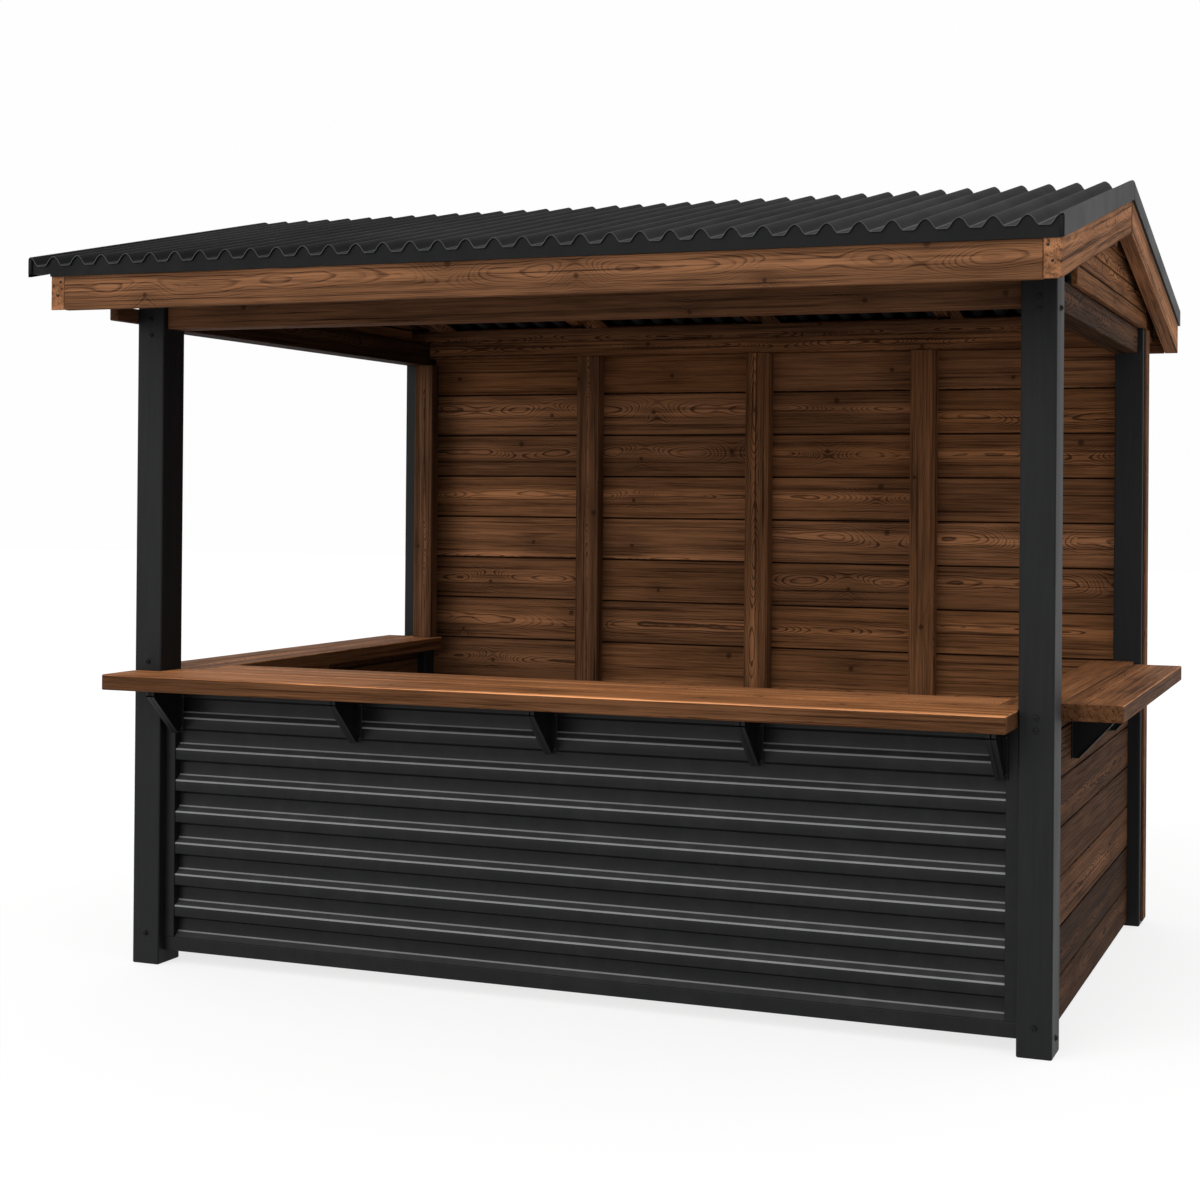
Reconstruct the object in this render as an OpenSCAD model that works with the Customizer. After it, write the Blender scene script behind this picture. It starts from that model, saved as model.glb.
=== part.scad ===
/* [Posts] */
// Half the length over the outer faces of the posts
half_length = 1500; // [1000:10:2500]
// Half the depth over the outer faces of the posts
half_depth = 1000; // [600:10:1500]
// Post width along the front
post_width = 100; // [70:5:160]
// Post depth front to back
post_depth = 120; // [70:5:160]
// Height of the post tops
post_height = 2170; // [1800:10:2500]

/* [Roof] */
// Height of the ridge over the sheet crests
ridge_height = 2570; // [2300:5:3200]
// Roof pitch in degrees
roof_pitch = 12; // [8:1:30]
// Fascia face beyond the posts
eave_overhang = 360; // [150:5:600]
// Sheet edge beyond the fascia face
sheet_lip = 12; // [10:2:80]
// Outer face of the bargeboards beyond the posts
verge_overhang = 70; // [60:1:200]
// Sheet edge beyond the posts at the left end
left_sheet_overhang = 150; // [100:5:250]
// Number of waves over the roof length
wave_count = 36; // [20:1:60]
// Height of one wave
wave_height = 28; // [15:1:50]

/* [Counters] */
// Height of the counter tops
counter_height = 960; // [800:10:1200]
// Thickness of the counter planks
counter_thickness = 50; // [25:1:70]
// Front counter beyond the post faces
front_reach = 180; // [100:5:400]
// Front counter behind the post faces
front_inset = 310; // [150:5:500]
// Right counter beyond the post faces
right_reach = 155; // [60:5:300]
// Left counter beyond the post faces
left_reach = 70; // [60:5:300]
// Side counters behind the post faces
side_inset = 175; // [100:5:300]
// Gap between the posts and the ends of the right counter's outer plank
right_cut = 120; // [0:5:300]

/* [Walls] */
// Height of the lower edge of the walls
wall_foot = 14; // [5:1:150]
// Thickness of the wall boards
board = 20; // [12:1:30]
// Set-back of the front panel
panel_setback = 30; // [10:5:60]
// Set-back of the side walls
side_setback = 45; // [20:5:70]
// Number of ribs in the front panel
rib_count = 8; // [4:1:14]

/* [Hidden] */
rise = tan(roof_pitch);
inner_x = half_length - post_width;
inner_y = half_depth - post_depth;
beam_size = 90;
beam_bottom = post_height - beam_size;
back_beam_bottom = beam_bottom + 30;
beam_inset = 20;
left_rail_width = 32;
left_rail_height = 46;
left_rail_reach = 110;
left_rail_top = post_height - 24;
left_rail_bottom = left_rail_top - left_rail_height;
plate_height = 52;
barge_thickness = 48;
gable_board = 20;
gable_reach = 650;
gable_back_reach = half_depth - beam_inset;
barge_outer = half_length + verge_overhang;
barge_inner = barge_outer - barge_thickness;
gable_inner = half_length - gable_board;
fascia_face = half_depth + eave_overhang;
fascia_thickness = 25;
sheet_edge = fascia_face + sheet_lip;
sheet_gauge = 5;
batten_height = 24;
batten_width = 48;
batten_count = 5;
under_sheet = wave_height + sheet_gauge;
under_batten = under_sheet + batten_height + 1;
barge_drop = 170;
trim_drop = 64;
trim_step = 8;
ridge_beam_width = 50;
ridge_beam_depth = 140;
ridge_beam_top = ridge_height - under_batten - 12;
rafter_depth = 80;
rafter_width = 48;
rafter_spacing = 750;
trim_gauge = 6;
left_sheet = half_length + left_sheet_overhang - trim_gauge;
right_sheet = barge_outer + 2;
counter_bottom = counter_height - counter_thickness;
side_inner = half_length - side_inset;
plank_joint = half_length - 25;
panel_face = half_depth - panel_setback;
panel_bottom = 44;
panel_depth = 36;
rib_depth = 24;
wall_face = half_length - side_setback;
back_face = half_depth - panel_setback;
back_inner = back_face - board;
stud_width = 95;
stud_depth = 60;
stud_gap = 1;
stud_spacing = 685;
middle_stud = 30;
corner_stud = 80;
corner_stud_inset = 72;
cover_width = 85;
cover_board = 8;
bracket_height = 150;
bracket_plate = 6;
front_bracket_reach = 160;
right_bracket_reach = 140;
left_bracket_reach = 95;
front_bracket_places = [-1350, -690, -20, 635, 1350];
side_bracket_spacing = 800;

black_steel = [0.16, 0.16, 0.17];
dark_wood = [0.42, 0.28, 0.19];
counter_wood = [0.62, 0.42, 0.28];

// Height of the sheet crests at a distance from the ridge
function crest(y) = ridge_height - rise * abs(y);

// Box from its lowest to its highest corner
module box(low, high) {
  translate(low) cube(high - low);
}

// Outline in the depth and height plane, run from one end to the other
module run_x(from, to, outline) {
  translate([from, 0, 0])
    rotate([90, 0, 90])
      linear_extrude(height = to - from) polygon(outline);
}

// Outline in the length and height plane, run from front to back
module run_y(from, to, outline) {
  translate([0, to, 0])
    rotate([90, 0, 0])
      linear_extrude(height = to - from) polygon(outline);
}

module post(side, face) {
  color(black_steel)
    translate([side > 0 ? inner_x : -half_length, face > 0 ? inner_y : -half_depth, 0])
      cube([post_width, post_depth, post_height]);
}

module post_front_left() post(-1, -1);
module post_front_right() post(1, -1);
module post_back_left() post(-1, 1);
module post_back_right() post(1, 1);

module long_beam(bottom) {
  box([-inner_x, -half_depth + beam_inset, bottom],
      [inner_x, -half_depth + beam_inset + beam_size, post_height]);
}

module side_beam() {
  box([half_length - beam_inset - beam_size, -inner_y, beam_bottom],
      [half_length - beam_inset, inner_y, post_height]);
}

module front_beam() color(dark_wood) long_beam(beam_bottom);
module back_beam() color(dark_wood) mirror([0, 1, 0]) long_beam(back_beam_bottom);
module left_beam() color(dark_wood) mirror([1, 0, 0]) side_beam();
module right_beam() color(dark_wood) side_beam();

// Thin rail on the outer faces of the left posts, under the bargeboards
module left_rail() {
  color(dark_wood)
    box([-half_length - left_rail_width, -half_depth - left_rail_reach, left_rail_bottom],
        [-half_length, half_depth + left_rail_reach, left_rail_top]);
}

module plate() {
  box([-gable_inner, -half_depth + beam_inset, post_height],
      [gable_inner, -half_depth + beam_inset + beam_size, post_height + plate_height]);
}

module front_plate() color(dark_wood) plate();
module back_plate() color(dark_wood) mirror([0, 1, 0]) plate();

module ridge_beam() {
  color(dark_wood)
    box([-barge_inner, -ridge_beam_width / 2, ridge_beam_top - ridge_beam_depth],
        [barge_inner, ridge_beam_width / 2, ridge_beam_top]);
}

module rafter(x) {
  near = ridge_beam_width / 2;
  far = fascia_face - fascia_thickness;
  color(dark_wood)
    for (side = [-1, 1])
      run_x(x - rafter_width / 2, x + rafter_width / 2,
        [[side * near, crest(near) - under_batten],
         [side * far, crest(far) - under_batten],
         [side * far, crest(far) - under_batten - rafter_depth],
         [side * near, crest(near) - under_batten - rafter_depth]]);
}

module rafter_left() rafter(-rafter_spacing);
module rafter_middle() rafter(0);
module rafter_right() rafter(rafter_spacing);

module battens(side) {
  first = 60;
  last = fascia_face - 50;
  color(dark_wood)
    for (i = [0 : batten_count - 1]) {
      y = first + (last - first) * i / (batten_count - 1);
      near = y - batten_width / 2;
      far = y + batten_width / 2;
      run_x(-barge_inner + 1, barge_inner - 1,
        [[side * near, crest(near) - under_sheet],
         [side * far, crest(far) - under_sheet],
         [side * far, crest(far) - under_sheet - batten_height],
         [side * near, crest(near) - under_sheet - batten_height]]);
    }
}

module battens_front() battens(-1);
module battens_back() battens(1);

// Gable boards on an end pair of rafters, with a notch that the ridge beam passes through
module gable() {
  rafter(gable_inner - rafter_width / 2);
  near = ridge_beam_width / 2 + 1;
  notch = ridge_beam_top - ridge_beam_depth - 1;
  run_x(gable_inner, half_length,
    [[-gable_reach, post_height], [gable_back_reach, post_height],
     [gable_back_reach, crest(gable_back_reach) - under_batten],
     [near, crest(near) - under_batten], [near, notch],
     [-near, notch], [-near, crest(near) - under_batten],
     [-gable_reach, crest(gable_reach) - under_batten]]);
}

module gable_left() color(dark_wood) mirror([1, 0, 0]) gable();
module gable_right() color(dark_wood) gable();

module barge() {
  top = under_sheet + 1;
  run_x(barge_inner, barge_outer,
    [[-fascia_face, crest(fascia_face) - barge_drop],
     [0, crest(0) - barge_drop],
     [fascia_face, crest(fascia_face) - barge_drop],
     [fascia_face, crest(fascia_face) - top],
     [0, crest(0) - top],
     [-fascia_face, crest(fascia_face) - top]]);
}

module barge_left() color(dark_wood) mirror([1, 0, 0]) barge();
module barge_right() color(dark_wood) barge();

module fascia() {
  box([-barge_inner, -fascia_face, crest(fascia_face) - barge_drop],
      [barge_inner, -fascia_face + fascia_thickness, crest(fascia_face) - under_sheet - 1]);
}

module fascia_front() color(dark_wood) fascia();
module fascia_back() color(dark_wood) mirror([0, 1, 0]) fascia();

// Upper edge of the waves from the left end to the right end
function wave_edge(drop) = [
  for (i = [0 : wave_count - 1])
    let (pitch = (left_sheet + right_sheet) / wave_count, x = -left_sheet + i * pitch)
      each [[x + 0.02 * pitch, -drop],
            [x + 0.26 * pitch, -drop],
            [x + 0.46 * pitch, -wave_height - drop],
            [x + 0.78 * pitch, -wave_height - drop]]];

module sheet() {
  top = wave_edge(0);
  low = wave_edge(sheet_gauge);
  last = len(low) - 1;
  length = sheet_edge / cos(roof_pitch) + 20;
  outline = concat([[-left_sheet, 0]], top, [[right_sheet, 0], [right_sheet, -sheet_gauge]],
    [for (i = [last : -1 : 0]) low[i]], [[-left_sheet, -sheet_gauge]]);
  intersection() {
    translate([0, 0, ridge_height])
      rotate([roof_pitch, 0, 0])
        run_y(-length, 20, [for (p = outline) [p[0], p[1] * cos(roof_pitch)]]);
    box([-2 * left_sheet, -sheet_edge, 0], [2 * left_sheet, 0, 2 * ridge_height]);
  }
}

module roof_sheet_front() color(black_steel) sheet();
module roof_sheet_back() color(black_steel) mirror([0, 1, 0]) sheet();

// Flat strip in front of the fascia, its top fitted under the waves
module eave_trim() {
  low = crest(fascia_face) - trim_drop;
  top = crest(sheet_edge);
  under = wave_edge(sheet_gauge + 2);
  inside = [for (p = under) if (p[0] < barge_outer) [p[0], top + p[1]]];
  run_y(-fascia_face - trim_gauge, -fascia_face,
    concat([[barge_outer, low], [-barge_outer, low], [-barge_outer, low + trim_step],
            [-left_sheet, low + trim_step]],
      inside, [[barge_outer, top - under_sheet - 2]]));
}

module eave_trim_front() color(black_steel) eave_trim();
module eave_trim_back() color(black_steel) mirror([0, 1, 0]) eave_trim();

module verge_face(from, drop) {
  run_x(from, from + trim_gauge,
    [[-sheet_edge, crest(sheet_edge) - drop], [0, crest(0) - drop],
     [sheet_edge, crest(sheet_edge) - drop], [sheet_edge, crest(sheet_edge)],
     [0, crest(0)], [-sheet_edge, crest(sheet_edge)]]);
}

module verge_trim_left() color(black_steel) mirror([1, 0, 0]) verge_face(left_sheet, trim_drop);
module verge_trim_right() color(black_steel) verge_face(right_sheet, trim_drop);

module front_panel() {
  rail = 45;
  strip = 38;
  low = panel_bottom + rail;
  pitch = (counter_bottom - low) / rib_count;
  back = -panel_face + panel_depth;
  near = -panel_face + 4;
  far = near + rib_depth;
  ribs = [for (i = [0 : rib_count - 1])
    let (z = low + i * pitch)
      each [[near, z], [far, z + 0.15 * pitch],
            [far, z + 0.58 * pitch], [near, z + 0.66 * pitch]]];
  outline = concat([[back, low]], ribs,
    [[near, counter_bottom], [back, counter_bottom]]);
  color(black_steel) {
    run_x(-inner_x + strip, inner_x - strip, outline);
    box([-inner_x, -panel_face, low], [-inner_x + strip, back, counter_bottom]);
    box([inner_x - strip, -panel_face, low], [inner_x, back, counter_bottom]);
    box([-inner_x, -panel_face, panel_bottom], [inner_x, back, low]);
  }
}

module cover(top) {
  box([half_length, half_depth - cover_width, wall_foot],
      [half_length + cover_board, half_depth, top]);
}

module back_wall() {
  color(dark_wood) {
    box([-inner_x, back_inner, wall_foot], [inner_x, back_face, back_beam_bottom]);
    for (x = [-stud_spacing, middle_stud, stud_spacing])
      box([x - stud_width / 2, back_inner - stud_gap - stud_depth, wall_foot],
          [x + stud_width / 2, back_inner - stud_gap, back_beam_bottom]);
    box([-half_length + corner_stud_inset, inner_y - stud_depth, counter_height],
        [-half_length + corner_stud_inset + corner_stud, inner_y, beam_bottom]);
    cover(post_height);
    mirror([1, 0, 0]) cover(left_rail_bottom);
  }
}

module side_wall() {
  box([wall_face - board, -inner_y, wall_foot], [wall_face, inner_y, counter_bottom]);
  box([wall_face - board - stud_gap - stud_depth, -stud_width / 2, wall_foot],
      [wall_face - board - stud_gap, stud_width / 2, counter_bottom]);
}

module left_wall() color(dark_wood) mirror([1, 0, 0]) side_wall();
module right_wall() color(dark_wood) side_wall();

module front_counter() {
  front = -half_depth - front_reach;
  color(counter_wood) {
    box([-half_length, front, counter_bottom], [inner_x, -half_depth, counter_height]);
    box([-inner_x, -half_depth, counter_bottom], [inner_x, -inner_y, counter_height]);
    box([-side_inner, -inner_y, counter_bottom],
        [side_inner, -half_depth + front_inset, counter_height]);
  }
}

// Inner plank between the posts and an outer plank, cut back from the posts at both ends
module side_counter(reach, cut) {
  box([side_inner, -inner_y, counter_bottom], [plank_joint, inner_y, counter_height]);
  box([plank_joint, -inner_y + cut, counter_bottom], [half_length + reach, inner_y - cut, counter_height]);
}

module left_counter() color(counter_wood) mirror([1, 0, 0]) side_counter(left_reach, 0);
module right_counter() color(counter_wood) side_counter(right_reach, right_cut);

// Folded bracket reaching forward from the panel face at the origin
module bracket(reach) {
  plate = bracket_plate;
  width = 40;
  flange = 30;
  tip = 22;
  color(black_steel) {
    run_x(-plate / 2, plate / 2,
      [[0, -bracket_height], [0, 0], [-reach, 0], [-reach, -tip], [-tip, -bracket_height]]);
    box([-width / 2, -plate, -bracket_height], [width / 2, 0, 0]);
    box([-width / 2, -reach, -plate], [width / 2, 0, 0]);
    run_x(-flange / 2, flange / 2,
      [[-reach, -tip], [-reach, -tip + 8], [-tip, -bracket_height + 8], [-tip, -bracket_height]]);
  }
}

module front_bracket(number) {
  translate([front_bracket_places[number - 1], -panel_face, counter_bottom])
    bracket(front_bracket_reach);
}

module front_bracket_1() front_bracket(1);
module front_bracket_2() front_bracket(2);
module front_bracket_3() front_bracket(3);
module front_bracket_4() front_bracket(4);
module front_bracket_5() front_bracket(5);

module side_bracket(place, reach) {
  translate([wall_face, place * side_bracket_spacing / 2, counter_bottom])
    rotate([0, 0, 90]) bracket(reach);
}

module left_bracket_1() mirror([1, 0, 0]) side_bracket(-1, left_bracket_reach);
module left_bracket_2() mirror([1, 0, 0]) side_bracket(1, left_bracket_reach);
module right_bracket_1() side_bracket(-1, right_bracket_reach);
module right_bracket_2() side_bracket(1, right_bracket_reach);

post_front_left();
post_front_right();
post_back_left();
post_back_right();
front_beam();
back_beam();
left_beam();
right_beam();
left_rail();
front_plate();
back_plate();
ridge_beam();
rafter_left();
rafter_middle();
rafter_right();
battens_front();
battens_back();
gable_left();
gable_right();
barge_left();
barge_right();
fascia_front();
fascia_back();
roof_sheet_front();
roof_sheet_back();
eave_trim_front();
eave_trim_back();
verge_trim_left();
verge_trim_right();
front_panel();
back_wall();
left_wall();
right_wall();
front_counter();
left_counter();
right_counter();
front_bracket_1();
front_bracket_2();
front_bracket_3();
front_bracket_4();
front_bracket_5();
left_bracket_1();
left_bracket_2();
right_bracket_1();
right_bracket_2();
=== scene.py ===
import math
import random
import bpy
from mathutils import Matrix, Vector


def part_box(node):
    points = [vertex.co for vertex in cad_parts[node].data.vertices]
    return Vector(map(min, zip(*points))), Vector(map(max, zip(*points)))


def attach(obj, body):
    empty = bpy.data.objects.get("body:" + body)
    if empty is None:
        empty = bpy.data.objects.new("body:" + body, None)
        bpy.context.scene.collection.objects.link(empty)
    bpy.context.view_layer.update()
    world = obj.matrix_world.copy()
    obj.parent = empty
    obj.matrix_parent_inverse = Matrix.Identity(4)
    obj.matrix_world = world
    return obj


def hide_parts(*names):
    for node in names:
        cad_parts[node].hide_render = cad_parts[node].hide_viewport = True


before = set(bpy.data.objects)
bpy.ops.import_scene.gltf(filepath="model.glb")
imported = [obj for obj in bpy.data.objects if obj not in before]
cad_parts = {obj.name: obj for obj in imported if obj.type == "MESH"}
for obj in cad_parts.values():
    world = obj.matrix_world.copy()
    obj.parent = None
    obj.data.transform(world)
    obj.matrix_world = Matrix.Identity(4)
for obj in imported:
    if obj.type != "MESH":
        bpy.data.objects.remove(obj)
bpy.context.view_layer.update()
random.seed(12)

# ---------------------------------------------------------------- posts
# Four timber posts, planed, with eased edges and satin black paint.
# They stand on the ground on their own feet and carry the two long plates of the roof.

post_ease = 0.005
plank_ease = 0.003
post_paint = (0.0062, 0.0065, 0.0071, 1)
# The paler colour of the posts is a painted sheen, laid along the grain lines.
post_painted_sheen = (0.0145, 0.0150, 0.0158, 1)
paint_shine = 0.16
flat_sawn_share = 0.75
heart_below = ((-0.02, 0.02), (0.030, 0.070))
heart_beside = ((0.07, 0.12), (0.0, 0.03))
log_span = (3, 40)
knot_lane = 0.05
upright_bias = 0.05


def only(*pieces):
    """Selects these pieces and nothing else; the first becomes the active one."""
    bpy.ops.object.select_all(action="DESELECT")
    for piece in pieces:
        piece.select_set(True)
    bpy.context.view_layer.objects.active = pieces[0]


def pick(piece, kind, wanted):
    """In edit mode, selects only the vertices, edges or faces that wanted() accepts."""
    bpy.ops.mesh.select_mode(type={"vertices": "VERT", "edges": "EDGE", "polygons": "FACE"}[kind])
    bpy.ops.mesh.select_all(action="DESELECT")
    bpy.ops.object.mode_set(mode="OBJECT")
    for part in getattr(piece.data, kind):
        part.select = wanted(part)
    bpy.ops.object.mode_set(mode="EDIT")


def block(low, high):
    """A plain block between two corners, its place in its mesh, left selected."""
    size = [b - a for a, b in zip(low, high)]
    centre = [(a + b) / 2 for a, b in zip(low, high)]
    bpy.ops.object.select_all(action="DESELECT")
    bpy.ops.mesh.primitive_cube_add(size=1, location=centre, scale=size)
    bpy.ops.object.transform_apply(location=True, rotation=True, scale=True)
    return bpy.context.object


def slope_down(piece, fall):
    """Lowers each end of a block by the roof's fall at its distance from the ridge."""
    ends = sorted({round(vertex.co.y, 5) for vertex in piece.data.vertices})
    bpy.ops.object.mode_set(mode="EDIT")
    for end in ends:
        pick(piece, "vertices", lambda vertex: abs(vertex.co.y - end) < 0.0001)
        bpy.ops.transform.translate(value=(0, 0, -fall * abs(end)))
    bpy.ops.object.mode_set(mode="OBJECT")


def ease_edges(piece, width, steps=2):
    """Rounds every edge of a piece, as a plane or sandpaper does."""
    only(piece)
    bpy.ops.object.mode_set(mode="EDIT")
    bpy.ops.mesh.select_all(action="SELECT")
    bpy.ops.mesh.bevel(offset=width, segments=steps, affect="EDGES")
    bpy.ops.object.mode_set(mode="OBJECT")


def map_grain(piece, low, high, along, fall=0.0, shade=None):
    """Keeps where each point lies in its own plank, as grain, how far it is from the heart of
    the log, as pith, and one tone for the plank. Most planks are sawn flat, over the heart."""
    widths = [b - a for a, b in zip(low, high)]
    widths[2] += upright_bias
    across, deep = sorted((axis for axis in range(3) if axis != along), key=lambda a: -widths[a])
    sawn = heart_below if random.random() < flat_sawn_share else heart_beside
    heart = (random.uniform(*sawn[0]), random.uniform(*sawn[1]))
    start = random.uniform(*log_span)
    lane = random.randrange(*log_span) + knot_lane
    grain = piece.data.attributes.new("grain", "FLOAT_VECTOR", "POINT")
    pith = piece.data.attributes.new("pith", "FLOAT_VECTOR", "POINT")
    for vertex, spot, heart_line in zip(piece.data.vertices, grain.data, pith.data):
        place = list(vertex.co)
        place[2] += fall * abs(place[1])
        local = [p - (a + b) / 2 for p, a, b in zip(place, low, high)]
        spot.vector = (local[along] + start, local[across] + lane, local[deep])
        heart_line.vector = (local[along] + start, local[across] + heart[0], local[deep] + heart[1])
    tone = piece.data.attributes.new("tone", "FLOAT", "FACE")
    shade = random.random() if shade is None else shade
    for face in tone.data:
        face.value = shade


def timber(low, high, along, ease=plank_ease, fall=0.0, shade=None):
    """One planed length of timber between two corners, with its grain along one axis."""
    piece = block(low, high)
    if fall:
        slope_down(piece, fall)
    ease_edges(piece, ease)
    map_grain(piece, low, high, along, fall, shade)
    return piece


def joined(name, pieces):
    """Several lengths made one piece with one name."""
    only(*pieces)
    if len(pieces) > 1:
        bpy.ops.object.join()
    piece = bpy.context.object
    piece.name = name
    piece.data.name = name
    return piece


def fitted(piece, finish, slot, *nodes):
    """Gives a piece its finish, hangs it under the root body and hides the parts of the model that it stands
    for.
    """
    piece.data.materials.clear()
    piece.data.materials.append(finish)
    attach(piece, "root")
    if nodes:
        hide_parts(*nodes)
    return piece


def add(tree, kind, inputs=None, **settings):
    """A node of one kind with its settings; each input is a value or another node's output."""
    made = tree.nodes.new("ShaderNode" + kind)
    for key, value in settings.items():
        setattr(made, key, value)
    for key, value in (inputs or {}).items():
        if isinstance(value, bpy.types.NodeSocket):
            tree.links.new(value, made.inputs[key])
        else:
            made.inputs[key].default_value = value
    return made


def sum_of(tree, operation, *values):
    """A number worked out from others."""
    return add(tree, "Math", dict(enumerate(values)), operation=operation).outputs[0]


def times(tree, first, second):
    """One number multiplied by another."""
    return sum_of(tree, "MULTIPLY", first, second)


def plus(tree, first, second):
    """Two numbers added."""
    return sum_of(tree, "ADD", first, second)


def spread(tree, value, low, high, to_low, to_high):
    """A number carried smoothly from one range to another and held at its ends."""
    made = add(tree, "MapRange", {0: value, 1: low, 2: high, 3: to_low, 4: to_high})
    made.interpolation_type = "SMOOTHSTEP"
    return made.outputs[0]


def mixed(tree, share, first, second, blend="MIX"):
    """Two colours mixed by a share."""
    made = add(tree, "Mix", {0: share, 6: first, 7: second}, data_type="RGBA", blend_type=blend)
    return made.outputs[2]


def noise(tree, place, stretch, detail=2.0, rough=0.5):
    """Noise on a place that is stretched first; returns the noise node."""
    scaled = add(tree, "VectorMath", {0: place, 1: stretch}, operation="MULTIPLY").outputs[0]
    return add(tree, "TexNoise", {"Vector": scaled, "Scale": 1.0, "Detail": detail, "Roughness": rough})


def new_finish(name, shine):
    """An empty finish with its shader, ready for nodes; shine is how strongly it reflects."""
    finish = bpy.data.materials.new(name)
    finish.use_nodes = True
    tree = finish.node_tree
    tree.nodes.clear()
    shader = add(tree, "BsdfPrincipled", {"Specular IOR Level": shine})
    add(tree, "OutputMaterial", {"Surface": shader.outputs[0]})
    return finish, tree, shader


def painted_timber(name, paint, painted_sheen):
    """Satin paint over planed timber: faint raised lines of the grain, and a paler painted sheen along them
    in soft clouds.
    """
    finish, tree, shader = new_finish(name, paint_shine)
    grain = add(tree, "Attribute", attribute_name="grain").outputs["Vector"]
    lines = noise(tree, grain, (4, 90, 90), 4, 0.6).outputs[0]
    cloud = noise(tree, grain, (1.4, 5, 5), 3, 0.6).outputs[0]
    # Painted sheen: the paler colour is mixed in along the grain lines and in soft clouds.
    share = times(tree, spread(tree, lines, 0.3, 0.75, 0.15, 0.7),
                  spread(tree, cloud, 0.25, 0.75, 0.5, 1.2))
    tree.links.new(mixed(tree, share, paint, painted_sheen), shader.inputs["Base Color"])
    tree.links.new(spread(tree, cloud, 0.3, 0.7, 0.50, 0.60), shader.inputs["Roughness"])
    bump = add(tree, "Bump", {"Strength": 0.25, "Distance": 0.0006, "Height": lines})
    tree.links.new(bump.outputs[0], shader.inputs["Normal"])
    return finish


black_timber = painted_timber("black_timber", post_paint, post_painted_sheen)

post_boxes = {}
for end in ("front", "back"):
    for side in ("left", "right"):
        node = f"post_{end}_{side}"
        low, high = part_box(node)
        post_boxes[end, side] = (low, high)
        post = joined(f"{end}_{side}_post", [timber(low, high, 2, post_ease)])
        fitted(post, black_timber, "black_timber", node)

# ---------------------------------------------------------------- post bolts
# Button-head screws through the posts into the beams, counters and lower walls.
# Black plated steel, each on a thin washer, with a round socket.

washer_radius = 0.0095
head_radius = 0.0072
head_height = 0.0045
washer_height = 0.0016
washer_ease = 0.0004
head_rim = 0.0022
socket_wall = 0.0012
socket_depth = 0.003
head_rise = 0.0004
head_taper = 0.86
bolt_colour = (0.006, 0.006, 0.0065, 1)
bolt_dust = (0.03, 0.03, 0.03, 1)


def coated_steel(name, colour, dust, roughness, shine=0.15):
    """Powder-coated steel: a fine orange-peel skin, soft clouds in the gloss and a little dust."""
    finish, tree, shader = new_finish(name, shine)
    place = add(tree, "TexCoord").outputs["Object"]
    cloud = noise(tree, place, (1.6, 1.6, 1.6), 4, 0.6).outputs[0]
    film = noise(tree, place, (14, 14, 14), 4, 0.65).outputs[0]
    peel = noise(tree, place, (700, 700, 700), 2, 0.5).outputs[0]
    share = times(tree, spread(tree, film, 0.35, 0.8, 0.0, 0.6),
                  spread(tree, cloud, 0.3, 0.7, 0.4, 1.0))
    tree.links.new(mixed(tree, share, colour, dust), shader.inputs["Base Color"])
    tree.links.new(spread(tree, cloud, 0.25, 0.75, roughness - 0.06, roughness + 0.06),
                   shader.inputs["Roughness"])
    bump = add(tree, "Bump", {"Strength": 0.12, "Distance": 0.0003, "Height": peel})
    tree.links.new(bump.outputs[0], shader.inputs["Normal"])
    return finish


bolt_steel = coated_steel("bolt_steel", bolt_colour, bolt_dust, 0.35)


def disc(radius, depth, middle, corners=24):
    """A short round bar that lies front to back at the origin, its middle at one depth."""
    bpy.ops.object.select_all(action="DESELECT")
    bpy.ops.mesh.primitive_cylinder_add(vertices=corners, radius=radius, depth=depth,
                                        location=(0, middle, 0), rotation=(math.pi / 2, 0, 0))
    bpy.ops.object.transform_apply(location=True, rotation=True, scale=True)
    return bpy.context.object


def turned(piece, angle):
    """Turns a piece about the upright line through the origin."""
    only(piece)
    piece.rotation_euler = (0, 0, angle)
    bpy.ops.object.transform_apply(location=False, rotation=True, scale=False)
    return piece


def bolt_head(turn):
    """A screw head on its washer at the origin, facing forward before it is turned."""
    washer = disc(washer_radius, washer_height, -washer_height / 2)
    ease_edges(washer, washer_ease, 1)
    head = disc(head_radius, head_height, -washer_height - head_height / 2)
    front = -washer_height - head_height
    bpy.ops.object.mode_set(mode="EDIT")
    pick(head, "polygons", lambda face: face.normal.y < -0.9)
    bpy.ops.mesh.inset(thickness=head_rim)
    bpy.ops.mesh.inset(thickness=socket_wall)
    bpy.ops.transform.translate(value=(0, -head_rise, 0))
    bpy.ops.mesh.extrude_region_move(TRANSFORM_OT_translate={"value": (0, socket_depth, 0)})
    pick(head, "vertices", lambda vertex: vertex.co.y < front + 0.0002
         and math.hypot(vertex.co.x, vertex.co.z) > head_radius - 0.0005)
    bpy.ops.transform.resize(value=(head_taper, 1, head_taper), center_override=(0, 0, 0))
    bpy.ops.object.mode_set(mode="OBJECT")
    return turned(joined("bolt", [head, washer]), turn)


def copied(piece, place):
    """A copy of a piece with its own mesh, moved to a place."""
    twin = piece.copy()
    twin.data = piece.data.copy()
    bpy.context.collection.objects.link(twin)
    twin.location = place
    only(twin)
    bpy.ops.object.transform_apply(location=True, rotation=False, scale=False)
    return twin


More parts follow.
